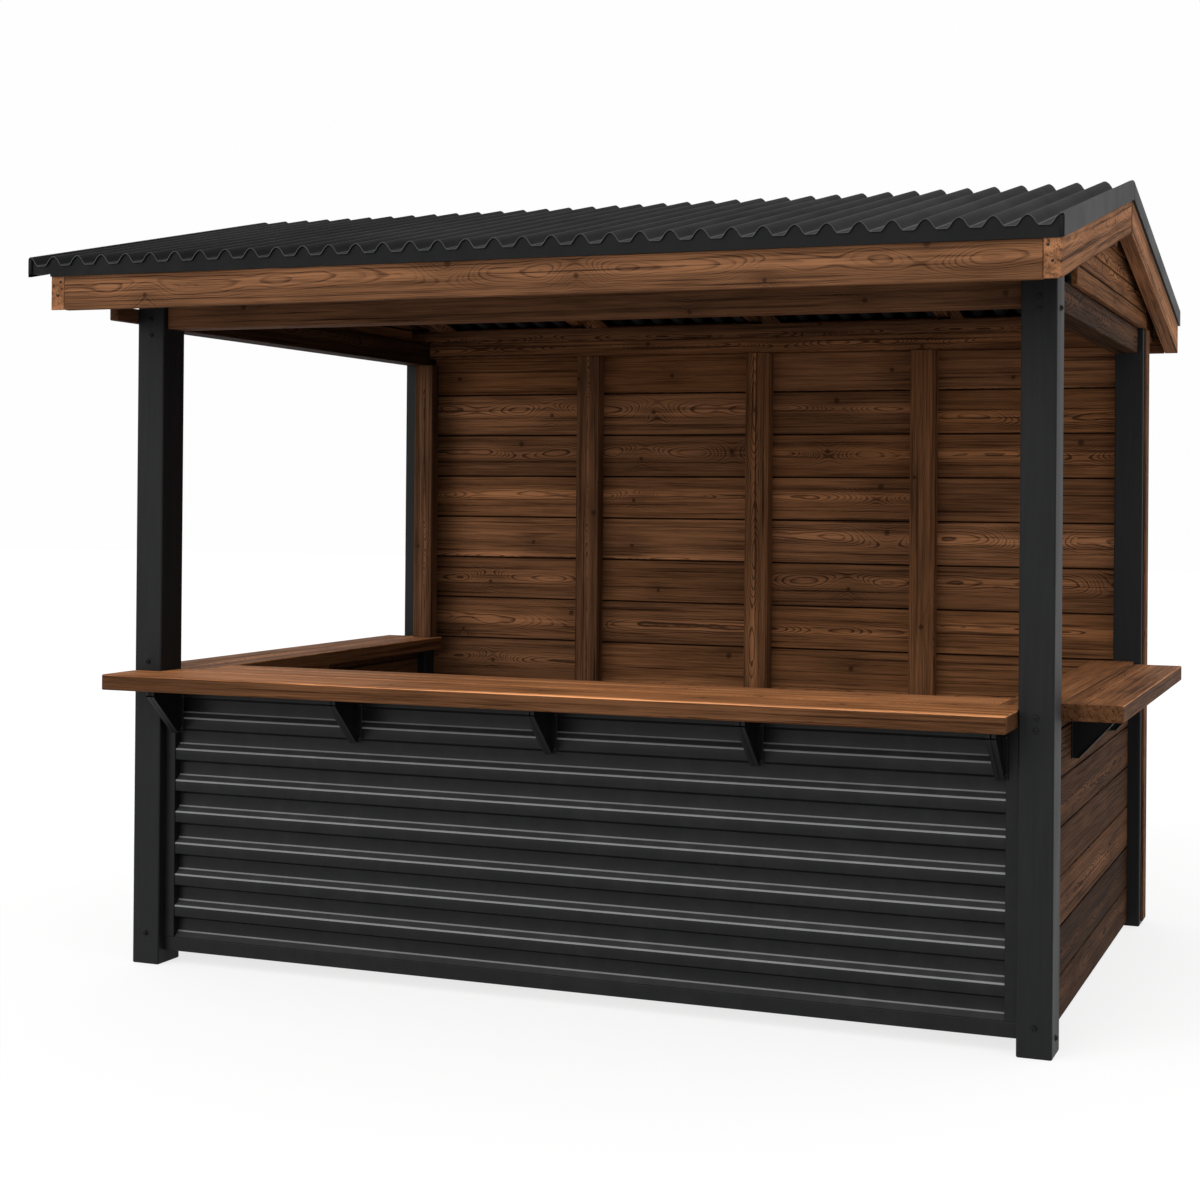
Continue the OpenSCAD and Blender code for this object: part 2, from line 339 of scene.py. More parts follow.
front_bolt = bolt_head(0)
side_bolt = bolt_head(math.pi / 2)
back_bolt = bolt_head(math.pi)
far_side_bolt = bolt_head(-math.pi / 2)
post_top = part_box("post_front_left")[1].z
counter_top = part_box("front_counter")[1].z
front_rows = {"left": (0.100, counter_top - 0.085, counter_top + 0.030, post_top - 0.110, post_top - 0.060),
              "right": (0.085, counter_top - 0.055, counter_top - 0.020, post_top - 0.102, post_top - 0.067)}
side_rows = (0.050, post_top - 0.095)
back_rows = (0.082, post_top - 0.060, post_top - 0.095)
post_bolts = []
for side in ("left", "right"):
    low, high = post_boxes["front", side]
    middle = (low.x + high.x) / 2
    for height in front_rows[side]:
        post_bolts.append(copied(front_bolt, (middle, low.y, height)))
    outer, bolt = (high.x, side_bolt) if side == "right" else (low.x, far_side_bolt)
    for height in side_rows:
        post_bolts.append(copied(bolt, (outer, (low.y + high.y) / 2, height)))
    low, high = post_boxes["back", side]
    for height in back_rows:
        post_bolts.append(copied(back_bolt, (middle, high.y, height)))
for spare in (front_bolt, side_bolt, back_bolt, far_side_bolt):
    bpy.data.objects.remove(spare)
fitted(joined("post_bolts", post_bolts), bolt_steel, "panel_steel")

# ---------------------------------------------------------------- beams and plates
# Planed softwood beams between the posts, the two long plates on the post tops and the
# ridge beam. All are stained brown, with the edges eased, and screwed through the posts.

stain_light = (0.270, 0.118, 0.050, 1)
stain_dark = (0.046, 0.0200, 0.0100, 1)
knot_colour = (0.026, 0.012, 0.0065, 1)
ring_width = 0.0034
sway_depth, sway_width = 0.080, 0.035
knot_cells = (2.0, 5.0, 0)
knotless_share = 0.34
knot_radius, knot_spread = 0.010, 0.008
knot_stretch = 0.60
knot_reach = 3.4
knot_pull = 0.028
knot_tint = 0.30


def across_of(tree, first, second):
    """How far a point lies from the middle, from its distances along two axes."""
    return sum_of(tree, "SQRT", plus(tree, times(tree, first, first), times(tree, second, second)))


def swung(tree, value, width, middle=0.0):
    """A noise value made a distance to either side of the middle."""
    return sum_of(tree, "MULTIPLY_ADD", sum_of(tree, "SUBTRACT", value, 0.5), width, middle)


def stained_timber(name, light, dark, roughness=0.72, strength=1.0):
    """Stained softwood: growth rings cut by the plank's face, knots that the rings bend round, fine fibres,
    and a tone for each plank, partly a stain that took differently from plank to plank and partly painted
    light and shade."""
    finish, tree, shader = new_finish(name, 0.03)
    spot = add(tree, "Attribute", attribute_name="grain").outputs["Vector"]
    pith = add(tree, "Attribute", attribute_name="pith").outputs["Vector"]
    tone = add(tree, "Attribute", attribute_name="tone").outputs["Fac"]
    heart = add(tree, "SeparateXYZ", {0: pith})
    sway = add(tree, "SeparateColor", {0: noise(tree, spot, (1.7, 1.2, 1.2), 2).outputs["Color"]})
    ripple = noise(tree, spot, (7, 24, 24), 3).outputs[0]

    # Knots, one at most in each cell of the plank's face.
    flat = add(tree, "VectorMath", {0: spot, 1: knot_cells}, operation="MULTIPLY").outputs[0]
    cells = add(tree, "TexVoronoi", {"Vector": flat, "Scale": 1.0, "Randomness": 0.5},
                voronoi_dimensions="2D")
    lot = add(tree, "SeparateColor", {0: cells.outputs["Color"]})
    cell_size = (1 / knot_cells[0], 1 / knot_cells[1], 0)
    centre = add(tree, "VectorMath", {0: cells.outputs["Position"], 1: cell_size},
                 operation="MULTIPLY").outputs[0]
    away = add(tree, "SeparateXYZ", {0: add(tree, "VectorMath", {0: spot, 1: centre},
                                            operation="SUBTRACT").outputs[0]})
    wobble = swung(tree, ripple, 0.008)
    along = plus(tree, away.outputs[0], wobble)
    across = plus(tree, away.outputs[1], wobble)
    there = sum_of(tree, "GREATER_THAN", lot.outputs[0], knotless_share)
    size = sum_of(tree, "MULTIPLY_ADD", lot.outputs[1], knot_spread, knot_radius)
    edge = sum_of(tree, "DIVIDE", across_of(tree, along, across), size)
    core = times(tree, there, sum_of(tree, "SUBTRACT", 1.0, spread(tree, edge, 0.35, 1.1, 0.2, 1)))
    reach = sum_of(tree, "DIVIDE", across_of(tree, times(tree, along, knot_stretch), across),
                   times(tree, size, knot_reach))
    swirl = times(tree, there, sum_of(tree, "EXPONENT", times(tree, times(tree, reach, reach), -1)))

    # Growth rings round the heart of the log, dark at the end of each year.
    high = swung(tree, sway.outputs[0], sway_depth, heart.outputs[2])
    wide = swung(tree, sway.outputs[1], sway_width, heart.outputs[1])
    bent = plus(tree, sum_of(tree, "MULTIPLY_ADD", swirl, knot_pull, across_of(tree, high, wide)),
                swung(tree, ripple, 0.0045))
    ring = sum_of(tree, "DIVIDE", bent, ring_width)
    year = sum_of(tree, "FRACT", ring)
    vigour = add(tree, "TexWhiteNoise", {"W": sum_of(tree, "FLOOR", ring)},
                 noise_dimensions="1D").outputs["Value"]
    late = times(tree, spread(tree, year, 0.46, 0.88, 0, 1), spread(tree, year, 0.90, 1.0, 1, 0))
    late = times(tree, late, spread(tree, vigour, 0, 1, 0.50, 1.25))

    # Fibres, long streaks, veins and blotches, which took the stain unevenly.
    fibre = noise(tree, spot, (5, 330, 330), 3, 0.65).outputs[0]
    streak = noise(tree, spot, (1.3, 62, 62), 4, 0.65).outputs[0]
    vein = noise(tree, spot, (0.9, 95, 95), 2, 0.5).outputs[0]
    blotch = noise(tree, spot, (1.7, 7, 7), 3, 0.6).outputs[0]
    lines = plus(tree, spread(tree, streak, 0.32, 0.72, -0.10, 0.52),
                 spread(tree, vein, 0.57, 0.68, 0, 0.62))
    lines = plus(tree, lines, spread(tree, fibre, 0.3, 0.75, -0.18, 0.40))
    dark_share = plus(tree, times(tree, late, 0.70 * strength), lines)
    wood = mixed(tree, sum_of(tree, "MINIMUM", sum_of(tree, "MAXIMUM", dark_share, 0), 1), light, dark)

    # The plank's tone: from 0 to 1 the wood's own tone, below 0 darker down to painted shade at -1, and
    # above 1 paler and greyer up to a painted highlight at 2.
    middle = spread(tree, sum_of(tree, "ABSOLUTE", wide), 0.004, 0.034, 1.42, 0.96)
    stain_and_painted_light = plus(tree, spread(tree, tone, -1, 0, 0.08, 0.70),
                 plus(tree, spread(tree, tone, 0, 1, 0, 0.54), spread(tree, tone, 1, 2, 0, 1.1)))
    red = times(tree, stain_and_painted_light, times(tree, spread(tree, blotch, 0.25, 0.75, 0.76, 1.18), middle))
    levels = [red]
    # Above a tone of 1 green and blue rise more than red, so the painted highlight is paler and greyer.
    for deep_tone, pale_tone, highlight_tint in ((1.06, 0.97, 0.30), (1.22, 0.92, 0.95)):
        share = plus(tree, spread(tree, tone, 0, 1, deep_tone, pale_tone),
                     spread(tree, tone, 1, 2, 0, highlight_tint))
        levels.append(times(tree, red, share))
    level = add(tree, "CombineColor", dict(enumerate(levels))).outputs[0]
    wood = mixed(tree, 1.0, wood, level, "MULTIPLY")
    near_knot = sum_of(tree, "MAXIMUM", core, times(tree, swirl, knot_tint))
    tree.links.new(mixed(tree, near_knot, wood, knot_colour), shader.inputs["Base Color"])
    tree.links.new(spread(tree, fibre, 0.25, 0.8, roughness - 0.06, roughness + 0.1),
                   shader.inputs["Roughness"])
    relief = plus(tree, times(tree, late, 0.5), times(tree, fibre, 0.8))
    bump = add(tree, "Bump", {"Strength": 0.45, "Distance": 0.0007, "Height": relief})
    tree.links.new(bump.outputs[0], shader.inputs["Normal"])
    return finish


stained_wood = stained_timber("stained_wood", stain_light, stain_dark)
beam_ease = 0.004
# The side beams and the left rail take darkened tones, painted shade; the long beams keep the wood's own
# range.
long_beam_shades, side_beam_painted_shades = (0.2, 0.7), (-0.80, -0.45)

for node, along in (("front_beam", 0), ("back_beam", 0), ("left_beam", 1), ("right_beam", 1),
                    ("left_rail", 1), ("front_plate", 0), ("back_plate", 0), ("ridge_beam", 0)):
    low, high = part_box(node)
    shades = side_beam_painted_shades if along else long_beam_shades
    beam = timber(low, high, along, beam_ease, 0, random.uniform(*shades))
    fitted(joined(f"{node}_timber", [beam]), stained_wood, "stained_wood", node)

# ---------------------------------------------------------------- back wall
# Horizontal tongued boards on the back, with an open joint between rows whose tongue is darkened as painted
# shade, butted over the upright studs inside. A corner stud stands by the left post, cover boards at both
# ends.

board_pitch = 0.167
board_joint = 0.125
board_thickness = 0.020
board_ease = 0.0035
# The back wall's boards reach up into the paler tones, painted light on the boards inside the stall.
back_painted_light_shades = (0.40, 1.30)
least_width, sliver = 0.030, 0.012
part_row = 0.3
joint_gap = 0.006
painted_joint_shade = -1.0
tongue, tongue_ease = 0.003, 0.0005
butt_gap = 0.0006
hair = 0.001
wall_low, wall_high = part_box("back_wall")
beam_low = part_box("back_beam")[0]
post_low, post_high = post_boxes["back", "left"]
wall_edge = abs(post_high.x) - hair
board_back = post_high.y - 0.030
board_front = board_back - board_thickness
stud_width, stud_depth = 0.095, 0.060
stud_places = (-0.685, 0.030, 0.685)


def boards(low, high, along, joint, pitch, shades, cuts=()):
    """Tongued boards that fill a box from its foot to its top, with a joint at one height.
    Each row is butted at one or two of the cuts, which are uprights that hide them."""
    thin = 1 - along
    bottom = low[2]
    made = []
    steps = math.floor((bottom - joint) / pitch + part_row)
    while bottom < high[2] - sliver:
        steps += 1
        top = min(joint + steps * pitch, high[2])
        if high[2] - top < least_width:
            top = high[2]
        inner = sorted(random.sample(cuts, random.choice((1, 1, 2)))) if cuts else []
        stops = [low[along] - butt_gap] + inner + [high[along] + butt_gap]
        edge = top - joint_gap if top < high[2] else top
        for start, stop in zip(stops, stops[1:]):
            near, far = [low[0], low[1], bottom], [high[0], high[1], edge]
            near[along], far[along] = start + butt_gap, stop - butt_gap
            made.append(timber(near, far, along, board_ease, 0, random.uniform(*shades)))
        # The tongue behind each open joint takes the darkest tone, painted shade in the gap.
        if top < high[2]:
            near, far = list(low), list(high)
            near[thin] = (low[thin] + high[thin]) / 2 - tongue
            far[thin] = near[thin] + 2 * tongue
            near[2], far[2] = top - joint_gap - board_ease, top + board_ease
            made.append(timber(near, far, along, tongue_ease, 0, painted_joint_shade))
        bottom = top
    return made


back_boards = boards((-wall_edge, board_front, wall_low.z), (wall_edge, board_back, beam_low.z), 0,
                     board_joint, board_pitch, back_painted_light_shades, stud_places)
fitted(joined("back_wall_boards", back_boards), stained_wood, "stained_wood", "back_wall")

uprights = []
for place in stud_places:
    uprights.append(timber((place - stud_width / 2, board_front - hair - stud_depth, wall_low.z),
                           (place + stud_width / 2, board_front - hair, beam_low.z - hair), 2))
corner_edge = post_low.x + 0.072
corner_width = 0.080
# The corner stud is darkened, painted shade in the corner by the left post.
corner_painted_shade = -0.35
uprights.append(timber((corner_edge, post_low.y - stud_depth, counter_top),
                       (corner_edge + corner_width, post_low.y - hair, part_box("left_beam")[0].z), 2,
                       shade=corner_painted_shade))
fitted(joined("back_wall_studs", uprights), stained_wood, "stained_wood")

covers = []
cover_width, cover_ease = 0.085, 0.002
for mirror in (-1, 1):
    ends = sorted((mirror * abs(post_low.x), mirror * wall_high.x))
    cover_top = post_top if mirror > 0 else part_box("left_rail")[0].z
    covers.append(timber((ends[0], post_high.y - cover_width, wall_low.z),
                         (ends[1], post_high.y - hair, cover_top - hair), 2, cover_ease))
fitted(joined("post_cover_boards", covers), stained_wood, "stained_wood")

# ---------------------------------------------------------------- side walls
# Low walls at both ends, of the same boards laid across, each on one upright inside.
# They stop under the side counters.

side_pitch = 0.1455
# The side walls' boards take darkened tones below the wood's range, painted shade on the ends of the stall.
side_wall_painted_shades = (-0.75, -0.10)
stud_face = board_thickness + hair


def inward(node, *depths):
    """Places at these depths behind the outer face of a side piece, from left to right."""
    low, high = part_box(node)
    outer, way = (high.x, -1) if high.x > 0 else (low.x, 1)
    return sorted(outer + way * depth for depth in depths)


for side in ("left", "right"):
    node = f"{side}_wall"
    low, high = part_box(node)
    faces = inward(node, 0, board_thickness)
    made = boards((faces[0], low.y, low.z), (faces[1], high.y, high.z), 1, 0.0, side_pitch, side_wall_painted_shades)
    inner = inward(node, stud_face, stud_face + stud_depth)
    made.append(timber((inner[0], -stud_width / 2, low.z), (inner[1], stud_width / 2, high.z), 2))
    fitted(joined(f"{side}_wall_boards", made), stained_wood, "stained_wood", node)

# ---------------------------------------------------------------- gables
# Narrow horizontal boards under the roof at both ends, nailed to an end pair of rafters and
# cut to the slope along the top. The ridge beam passes through them to the bargeboards.

trim_drop = 0.064
ridge_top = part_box("verge_trim_right")[1].z
eave_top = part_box("verge_trim_right")[0].z + trim_drop
sheet_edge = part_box("verge_trim_right")[1].y
fall = (ridge_top - eave_top) / sheet_edge
rafter_near = 0.025
rafter_depth = 0.080
rafter_width = 0.048
rafter_ease = 0.002
rafter_top = ridge_top - 0.058
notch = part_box("ridge_beam")[0].z - hair
gable_reach = 0.650
gable_back = post_high.y - 0.020
gable_rows = 3
gable_pitch = (notch - post_top) / gable_rows
gable_shades = (0.50, 0.95)


def rafter_pair(start, stop, far):
    """Two rafters that lean on the ridge beam, between two places along the roof."""
    pair = []
    for slope in (-1, 1):
        ends = sorted((slope * rafter_near, slope * far))
        pair.append(timber((start, ends[0], rafter_top - rafter_depth), (stop, ends[1], rafter_top),
                           1, rafter_ease, fall))
    return pair


for side in ("left", "right"):
    node = f"gable_{side}"
    faces = inward(node, 0, board_thickness)
    made = boards((faces[0], -gable_reach, post_top), (faces[1], gable_back, notch), 1, post_top,
                  gable_pitch, gable_shades)
    for ends in ((-gable_reach, -rafter_near - hair), (rafter_near + hair, gable_back)):
        made += boards((faces[0], ends[0], notch + joint_gap), (faces[1], ends[1], rafter_top), 1, notch,
                       gable_pitch, gable_shades)
    gable = joined(f"{side}_gable_boards", made)
    only(gable)
    bpy.ops.object.mode_set(mode="EDIT")
    for slope in (-1, 1):
        bpy.ops.mesh.select_all(action="SELECT")
        bpy.ops.mesh.bisect(plane_co=(0, 0, rafter_top), plane_no=(0, slope * fall, 1),
                            use_fill=True, clear_outer=True)
    bpy.ops.object.mode_set(mode="OBJECT")
    inner = inward(node, board_thickness, board_thickness + rafter_width)
    pair = rafter_pair(inner[0], inner[1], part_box(node)[1].y)
    fitted(joined(f"{side}_gable_boards", [gable] + pair), stained_wood, "stained_wood", node)

# ---------------------------------------------------------------- rafters and battens
# Three pairs of sawn rafters from the ridge beam over the plates, and five thin battens on
# each slope that the roof sheets are screwed to.

batten_depth = 0.024
batten_half = 0.024
batten_ease = 0.002
batten_count = 5
first_batten = 0.060
for node in ("rafter_left", "rafter_middle", "rafter_right"):
    low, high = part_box(node)
    fitted(joined(f"{node}_pair", rafter_pair(low.x, high.x, high.y)), stained_wood, "stained_wood", node)

for node, slope in (("battens_front", -1), ("battens_back", 1)):
    low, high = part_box(node)
    top = high.z + fall * (first_batten - batten_half)
    run = max(abs(low.y), high.y) - batten_half - first_batten
    made = []
    for step in range(batten_count):
        middle = first_batten + run * step / (batten_count - 1)
        ends = sorted((slope * (middle - batten_half), slope * (middle + batten_half)))
        made.append(timber((low.x, ends[0], top - batten_depth), (high.x, ends[1], top), 0,
                           batten_ease, fall))
    fitted(joined(f"{node}_lengths", made), stained_wood, "stained_wood", node)

# ---------------------------------------------------------------- bargeboards and fascias
# Thick planed boards that close the roof's edges. The bargeboards are mitred under the
# ridge and their ends show beside the fascias, with small nail heads at each joint.

fascia_wood = stained_timber("fascia_wood", stain_light, stain_dark, strength=0.58)
fascia_shade = 0.36
# The bargeboards take tones above the wood's range, paler and greyer, a painted reflection.
barge_painted_highlight_shades = (1.05, 1.35)
mitre_gap = 0.0040
mitre_shadow = mitre_gap + 0.0032
for side in ("left", "right"):
    node = f"barge_{side}"
    low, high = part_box(node)
    drop = high.z - low.z - fall * high.y
    made = []
    for slope in (-1, 1):
        ends = sorted((slope * mitre_gap, slope * high.y))
        board = timber((low.x, ends[0], high.z - drop), (high.x, ends[1], high.z), 1, plank_ease, fall,
                       random.uniform(*barge_painted_highlight_shades))
        # The faces at the mitre take the darkest tone, painted shade in the joint.
        for face, shade in zip(board.data.polygons, board.data.attributes["tone"].data):
            if abs(face.center.y) < mitre_shadow:
                shade.value = painted_joint_shade
        made.append(board)
    fitted(joined(f"{side}_bargeboards", made), fascia_wood, "stained_wood", node)

for node in ("fascia_front", "fascia_back"):
    low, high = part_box(node)
    board = timber((low.x + hair, low.y, low.z), (high.x - hair, high.y, high.z), 0,
                   shade=fascia_shade)
    fitted(joined(f"{node}_board", [board]), fascia_wood, "stained_wood", node)

nail_radius, nail_depth, nail_ease = 0.004, 0.0016, 0.0004
nail_places = ((0.012, 0.088), (0.024, 0.046))
fascia_low, fascia_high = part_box("fascia_front")
nail = disc(nail_radius, nail_depth, -nail_ease, 14)
ease_edges(nail, nail_ease, 1)
nails = []
for face in (fascia_low.y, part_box("fascia_back")[1].y + 0.0006):
    for end in (-1, 1):
        for offset, height in nail_places:
            nails.append(copied(nail, (end * (fascia_high.x + offset), face, fascia_low.z + height)))
bpy.data.objects.remove(nail)
fitted(joined("fascia_nails", nails), bolt_steel, "panel_steel")

# ---------------------------------------------------------------- roof sheets
# Coated steel sheets with round crests and flat troughs, one slope each, butted at the ridge with no cap.
# The up-facing folds at the foot of each wave are a paler grey, a painted highlight, and the cut ends paler
# still, partly the bare steel of the cut and partly a painted highlight.

wave_count = 36
wave_height = 0.028
sheet_gauge = 0.0020
roof_colour = (0.0038, 0.0040, 0.0044, 1)
roof_dust = (0.012, 0.012, 0.0125, 1)
roof_steel = coated_steel("roof_steel", roof_colour, roof_dust, 0.64, 0.07)
trim_steel = coated_steel("trim_steel", roof_colour, roof_dust, 0.52, 0.12)
# Paler steels for the folds and the cut ends: painted highlights, the cut ends partly bare steel.
fold_highlight_colour, fold_highlight_pale = (0.017, 0.0175, 0.0185, 1), (0.030, 0.030, 0.031, 1)
fold_highlight_steel = coated_steel("fold_highlight_steel", fold_highlight_colour, fold_highlight_pale, 0.48, 0.14)
cut_highlight_colour, cut_highlight_pale = (0.070, 0.070, 0.072, 1), (0.14, 0.14, 0.14, 1)
cut_edge_highlight = coated_steel("cut_edge_highlight", cut_highlight_colour, cut_highlight_pale, 0.38)
sheet_low, sheet_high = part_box("roof_sheet_front")
wave_width = (sheet_high.x - sheet_low.x) / wave_count
crest_half, trough_start = 0.12, 0.345
crest_drop, flank_bend = 0.17, 0.06
fold_stops = ((0.315, 0.345), (0.655, 0.685))
wave_stops = (0, 0.03, 0.06, 0.09, 0.12, 0.16, 0.20, 0.24, 0.28, 0.315, 0.345, 0.5,
              0.655, 0.685, 0.72, 0.76, 0.80, 0.84, 0.88, 0.91, 0.94, 0.97, 1)


def drawn(name, points, closed=False):
    """A line drawn from point to point, which is then extruded into a piece."""
    bpy.ops.object.select_all(action="DESELECT")
    bpy.ops.mesh.primitive_plane_add(size=0.01, location=points[0])
    piece = bpy.context.object
    piece.name = piece.data.name = name
    bpy.ops.object.transform_apply(location=True, rotation=True, scale=True)
    bpy.ops.object.mode_set(mode="EDIT")
    bpy.ops.mesh.select_mode(type="VERT")
    bpy.ops.mesh.select_all(action="SELECT")
    bpy.ops.mesh.merge(type="CENTER")
    for last, point in zip(points, points[1:]):
        step = tuple(b - a for a, b in zip(last, point))
        bpy.ops.mesh.extrude_region_move(TRANSFORM_OT_translate={"value": step})
    if closed:
        bpy.ops.mesh.select_all(action="SELECT")
        bpy.ops.mesh.edge_face_add()
    bpy.ops.object.mode_set(mode="OBJECT")
    return piece


def faced_outward(piece):
    """Turns every face of a piece the same way, and outwards if it is closed."""
    only(piece)
    bpy.ops.object.mode_set(mode="EDIT")
    bpy.ops.mesh.select_all(action="SELECT")
    bpy.ops.mesh.normals_make_consistent(inside=False)
    bpy.ops.object.mode_set(mode="OBJECT")
    return piece


def extruded(piece, step):
    """Pulls all of a drawn line or face along one step."""
    only(piece)
    bpy.ops.object.mode_set(mode="EDIT")
    bpy.ops.mesh.select_all(action="SELECT")
    bpy.ops.mesh.extrude_region_move(TRANSFORM_OT_translate={"value": step})
    bpy.ops.object.mode_set(mode="OBJECT")
    return faced_outward(piece)


def finish_with(piece, kind, **settings):
    """Adds one modifier with its settings and applies it."""
    only(piece)
    modifier = piece.modifiers.new(kind.lower(), kind)
    for key, value in settings.items():
        setattr(modifier, key, value)
    bpy.ops.object.modifier_apply(modifier=modifier.name)


def wave_drop(share):
    """How far the sheet lies under its crest, over one wave that starts at a crest."""
    from_crest = min(share, 1 - share)
    if from_crest < crest_half:
        return wave_height * crest_drop * (from_crest / crest_half) ** 2
    if from_crest > trough_start:
        return wave_height
    rest = (from_crest - crest_half) / (trough_start - crest_half)
    eased = rest - flank_bend * math.sin(2 * math.pi * rest)
    return wave_height * (crest_drop + (1 - crest_drop) * eased)


def waves(name, y, crest):
    """The sheet's profile over its whole width: one wave drawn, then set side by side."""
    line = drawn(name, [(sheet_low.x + share * wave_width, y, crest - wave_drop(share))
                        for share in wave_stops])
    finish_with(line, "ARRAY", count=wave_count, use_relative_offset=False, use_constant_offset=True,
                constant_offset_displace=(wave_width, 0, 0), use_merge_vertices=True,
                merge_threshold=0.0005)
    return line


for node, slope in (("roof_sheet_front", -1), ("roof_sheet_back", 1)):
    sheet = waves(f"{node}_steel", 0, ridge_top)
    extruded(sheet, (0, slope * sheet_edge, -fall * sheet_edge))
    up = sum(face.normal.z for face in sheet.data.polygons)
    finish_with(sheet, "SOLIDIFY", thickness=sheet_gauge, offset=-1 if up > 0 else 1)
    faced_outward(sheet)
    bpy.ops.object.shade_smooth_by_angle(angle=math.radians(35))
    fitted(sheet, roof_steel, "roof_steel", node)
    sheet.data.materials.append(cut_edge_highlight)
    sheet.data.materials.append(fold_highlight_steel)
    # Cut ends and up-facing folds take the paler steels, painted highlights.
    for face in sheet.data.polygons:
        share = (face.center.x - sheet_low.x) / wave_width % 1
        if abs(face.normal.y) > 0.9:
            face.material_index = 1
        elif face.normal.z > 0 and any(low < share < high for low, high in fold_stops):
            face.material_index = 2

# ---------------------------------------------------------------- eave and verge trims
# Folded steel of the same coating. The eave trim is cut to the waves above it, and the
# verge trims cap the last wave, hang over the bargeboards and are mitred at the ridge.

trim_gauge = 0.0016
trim_step = 0.008
trim_blank = 0.12
trim_fold = 0.004
trim_lap = 0.0005
for node, slope in (("eave_trim_front", -1), ("eave_trim_back", 1)):
    low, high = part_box(node)
    face = slope * (max(abs(low.y), abs(high.y)) - trim_gauge / 2)
    crest = ridge_top - fall * abs(face) - sheet_gauge + trim_lap
    lengths = []
    for start, stop, foot in ((-high.x, high.x, low.z), (low.x, -high.x, low.z + trim_step)):
        length = waves("eave_trim_length", face, crest)
        extruded(length, (0, 0, -trim_blank))
        bpy.ops.object.mode_set(mode="EDIT")
        for place, way in (((0, 0, foot), (0, 0, -1)), ((start, 0, 0), (-1, 0, 0)),
                           ((stop, 0, 0), (1, 0, 0))):
            bpy.ops.mesh.select_all(action="SELECT")
            bpy.ops.mesh.bisect(plane_co=place, plane_no=way, clear_outer=True)
        pick(length, "edges", lambda edge: all(abs(length.data.vertices[v].co.z - foot) < 0.0005
                                               for v in edge.vertices))
        bpy.ops.mesh.extrude_region_move(TRANSFORM_OT_translate={"value": (0, -slope * trim_fold, 0)})
        bpy.ops.object.mode_set(mode="OBJECT")
        finish_with(length, "SOLIDIFY", thickness=trim_gauge, offset=0)
        lengths.append(faced_outward(length))
    fitted(joined(f"{node}_steel", lengths), trim_steel, "roof_steel", node)

flange = 0.014
bend = 0.007
hem = 0.012
cap_top = eave_top - 0.006
cap_ease = 0.0007
for side, outward in (("left", -1), ("right", 1)):
    node = f"verge_trim_{side}"
    low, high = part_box(node)
    outer = outward * (max(abs(low.x), abs(high.x)) - trim_gauge / 2)
    top = ridge_top - trim_gauge
    foot = ridge_top - trim_drop + trim_gauge
    halves = []
    fold = ((hem, foot), (0, foot), (0, top - bend), (bend * 0.12, top - bend * 0.5),
            (bend * 0.5, top - bend * 0.12), (bend, top), (flange, top - hair))
    for slope in (-1, 1):
        half = drawn("verge", [(outer - outward * depth, slope * mitre_gap / 2, height)
                               for depth, height in fold])
        run = sheet_edge - mitre_gap
        extruded(half, (0, slope * run, -fall * run))
        finish_with(half, "SOLIDIFY", thickness=trim_gauge, offset=0)
        halves.append(faced_outward(half))
        ends = sorted((slope * sheet_edge, slope * (sheet_edge - trim_gauge)))
        sides = sorted((outer, outer - outward * hem))
        end_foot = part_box("eave_trim_front")[0].z + (trim_step if outward < 0 else 0)
        end_cap = block((sides[0], ends[0], end_foot), (sides[1], ends[1], cap_top))
        ease_edges(end_cap, cap_ease, 1)
        halves.append(end_cap)
    verge = joined(f"{side}_verge_trim", halves)
    bpy.ops.object.shade_smooth_by_angle(angle=math.radians(50))
    fitted(verge, trim_steel, "roof_steel", node)

# ---------------------------------------------------------------- front panel
# Ribbed coated steel sheet on the front, below the counter, its ribs lying level, between a flat folded
# strip at each end and over a flat bottom rail. The folds of the ribs are paler steels as painted
# highlights, and the slopes that face up a paler grey as painted light.

panel_colour = (0.0068, 0.0070, 0.0075, 1)
panel_dust = (0.018, 0.018, 0.0184, 1)
panel_steel = coated_steel("panel_steel", panel_colour, panel_dust, 0.36)
panel_low, panel_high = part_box("front_panel")
rail_top = panel_low.z + 0.045
strip_width = 0.038
strip_ease = 0.002
strip_gap = 0.0005
rib_count = 8
rib_lap = 0.002
rib_bend = 0.0032
rib_gauge = 0.0012
rib_pitch = (panel_high.z - rail_top) / rib_count
rib_front = panel_low.y + 0.004
rib_back = panel_low.y + 0.028
rib_stops = ((0, rib_front), (0.15, rib_back), (0.58, rib_back), (0.66, rib_front))
rib_start = panel_low.x + strip_width - rib_lap
rib_line = [(rib_start, depth, rail_top + (rib + share) * rib_pitch)
            for rib in range(rib_count) for share, depth in rib_stops]
rib_line.append((rib_start, rib_front, panel_high.z - hair))
ribs = drawn("front_panel_ribs", rib_line)
extruded(ribs, (panel_high.x - panel_low.x - 2 * (strip_width - rib_lap), 0, 0))
bpy.ops.object.mode_set(mode="EDIT")
pick(ribs, "edges", lambda edge: abs(ribs.data.vertices[edge.vertices[0]].co.x
                                     - ribs.data.vertices[edge.vertices[1]].co.x) > 0.5)
bpy.ops.mesh.bevel(offset=rib_bend, segments=3, affect="EDGES")
bpy.ops.object.mode_set(mode="OBJECT")
finish_with(ribs, "SOLIDIFY", thickness=rib_gauge, offset=0)
faced_outward(ribs)
bpy.ops.object.shade_smooth_by_angle(angle=math.radians(40))
near_end, far_end = panel_low.x + strip_gap, panel_high.x - strip_gap
strips = ((near_end, panel_low.x + strip_width), (panel_high.x - strip_width, far_end))
flats = [block((start, panel_low.y, rail_top), (stop, panel_high.y, panel_high.z - hair))
         for start, stop in strips]
flats.append(block((near_end, panel_low.y, panel_low.z), (far_end, panel_high.y, rail_top)))
